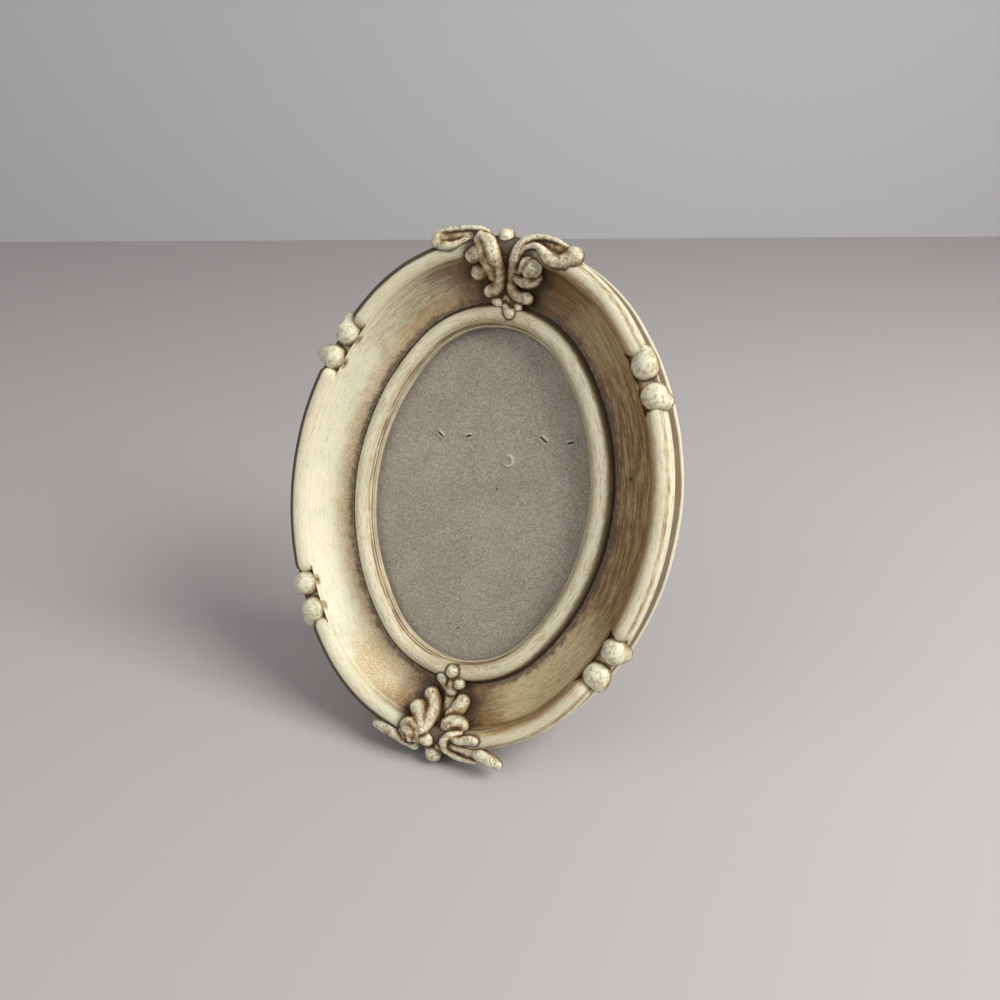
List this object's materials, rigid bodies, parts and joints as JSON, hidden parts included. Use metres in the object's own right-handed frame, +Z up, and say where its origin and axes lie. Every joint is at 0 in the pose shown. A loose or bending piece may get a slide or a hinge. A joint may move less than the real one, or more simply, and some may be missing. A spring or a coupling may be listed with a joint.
{
  "type": "table picture frame",
  "caption": "Small oval table-top picture frame with a scooped moulding, relief ornament, glass, turn clips and a hinged easel strut.",
  "frame": {"origin": "on the table under the middle of the frame's outer box, with the strut open", "axes": "+X to the right as seen from the front, +Y from the front to the back, +Z up"},
  "size_m": [0.084, 0.0535, 0.1022],
  "materials": {
    "painted_resin": "ivory paint with a brown antique wash, half gloss",
    "clear_glass": "clear, polished",
    "grey_board": "grey-brown chipboard, matt, flecked",
    "print_paper": "black paper facing, matt",
    "black_paper": "black paper cover, matt",
    "cloth_tape": "black cloth tape",
    "satin_ribbon": "dark satin ribbon",
    "steel_wire": "bright wire",
    "brass_plate": "pressed plate, satin",
    "brass_screw": "turned, satin"
  },
  "bodies": {
    "frame": {"frame_moulding": "painted_resin", "crest_spray": "painted_resin", "foot_spray": "painted_resin", "upper_left_side_knob": "painted_resin", "upper_left_end_knob": "painted_resin", "upper_right_side_knob": "painted_resin", "upper_right_end_knob": "painted_resin", "lower_left_side_knob": "painted_resin", "lower_left_end_knob": "painted_resin", "lower_right_side_knob": "painted_resin", "lower_right_end_knob": "painted_resin", "glass_pane": "clear_glass", "backing_board": "grey_board", "backing_facing": "print_paper", "strut_flap": "grey_board", "flap_cover": "black_paper", "flap_staple_left": "steel_wire", "flap_staple_right": "steel_wire", "hinge_tape": "cloth_tape", "stay_ribbon": "satin_ribbon", "upper_right_clip_screw": "brass_screw", "upper_left_clip_screw": "brass_screw", "lower_left_clip_screw": "brass_screw", "lower_right_clip_screw": "brass_screw"},
    "strut": {"strut_leg": "grey_board", "leg_cover": "black_paper"},
    "upper_right_clip": {"upper_right_clip": "brass_plate"},
    "upper_left_clip": {"upper_left_clip": "brass_plate"},
    "lower_left_clip": {"lower_left_clip": "brass_plate"},
    "lower_right_clip": {"lower_right_clip": "brass_plate"}
  },
  "joints": [
    {"name": "strut_fold", "type": "hinge", "parent": "frame", "child": "strut", "pos_m": [0, 0.00924, 0.05317], "axis": [-1, 0, 0], "range_deg": [0, 36], "deforming": ["hinge_tape", "stay_ribbon"]},
    {"name": "upper_right_clip_turn", "type": "hinge", "parent": "frame", "child": "upper_right_clip", "pos_m": [0.02475, 0.01557, 0.07078], "axis": [0, 0.9164, -0.4003], "range_deg": [0, 100]},
    {"name": "upper_left_clip_turn", "type": "hinge", "parent": "frame", "child": "upper_left_clip", "pos_m": [-0.02475, 0.01557, 0.07078], "axis": [0, -0.9164, 0.4003], "range_deg": [0, 100]},
    {"name": "lower_left_clip_turn", "type": "hinge", "parent": "frame", "child": "lower_left_clip", "pos_m": [-0.02475, -0.00418, 0.02557], "axis": [0, 0.9164, -0.4003], "range_deg": [0, 100]},
    {"name": "lower_right_clip_turn", "type": "hinge", "parent": "frame", "child": "lower_right_clip", "pos_m": [0.02475, -0.00418, 0.02557], "axis": [0, -0.9164, 0.4003], "range_deg": [0, 100]}
  ]
}
